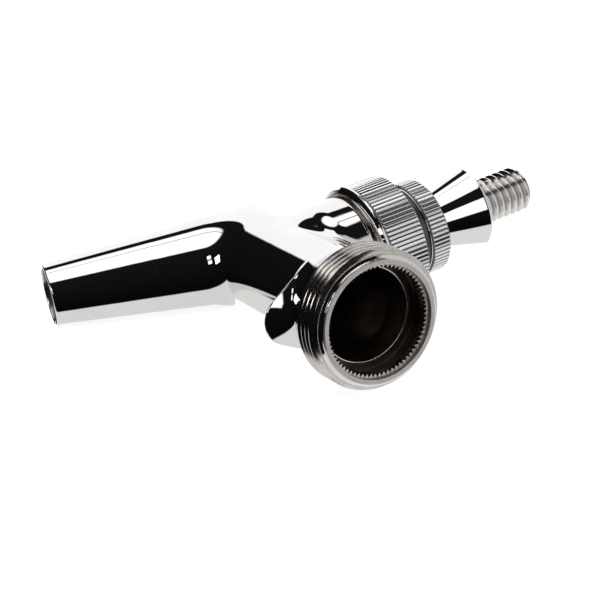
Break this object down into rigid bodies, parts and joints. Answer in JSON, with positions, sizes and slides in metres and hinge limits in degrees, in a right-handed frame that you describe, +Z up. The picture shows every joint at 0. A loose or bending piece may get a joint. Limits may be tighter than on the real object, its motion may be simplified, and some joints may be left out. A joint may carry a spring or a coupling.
{
  "type": "draft beer faucet",
  "caption": "Forward-sealing draft faucet with threaded coupling, tapered spout, knurled bonnet, ball lever with handle stud and sliding valve shaft.",
  "frame": {"origin": "centre of the coupling face, on the shank's axis", "axes": "+Y out of the coupling along the shank, +Z up the lever, spout forward and down towards -Y and -Z, left and right halves alike about X = 0"},
  "size_m": [0.0286, 0.0743, 0.0978],
  "materials": {
    "polished_steel": "mirror-polished stainless steel, turned and slightly brown-grey at the coupling thread and face",
    "chrome": "bright chrome plate, straight knurling",
    "machined_steel": "turned stainless steel",
    "white_plastic": "moulded acetal, low sheen",
    "black_rubber": "moulded rubber, low sheen"
  },
  "bodies": {
    "body": {"faucet_body": "polished_steel", "bonnet": "chrome", "friction_washer": "white_plastic", "upper_ball_cup": "white_plastic", "lower_ball_cup": "white_plastic", "cup_o_ring": "black_rubber", "lever_o_ring": "black_rubber"},
    "compression_ring": {"compression_ring": "chrome"},
    "lever": {"lever": "machined_steel", "lever_collar": "chrome"},
    "valve_shaft": {"valve_shaft": "machined_steel", "seat_o_ring": "black_rubber"}
  },
  "joints": [
    {"name": "lever_swing", "type": "hinge", "parent": "body", "child": "lever", "pos_m": [0, -0.0343, 0.026], "axis": [1, 0, 0], "range_deg": [0, 18]},
    {"name": "valve_slide", "type": "slide", "parent": "body", "child": "valve_shaft", "axis": [0, 1, 0], "range_m": [0, 0.0073]},
    {"name": "compression_ring_turn", "type": "hinge", "parent": "body", "child": "compression_ring", "pos_m": [0, -0.0343, 0.0304], "axis": [0, 0, 1], "range_deg": [-90, 45]}
  ],
  "couplings": [
    {"joint": "valve_slide", "follows": "lever_swing", "m_per_rad": 0.023115}
  ]
}
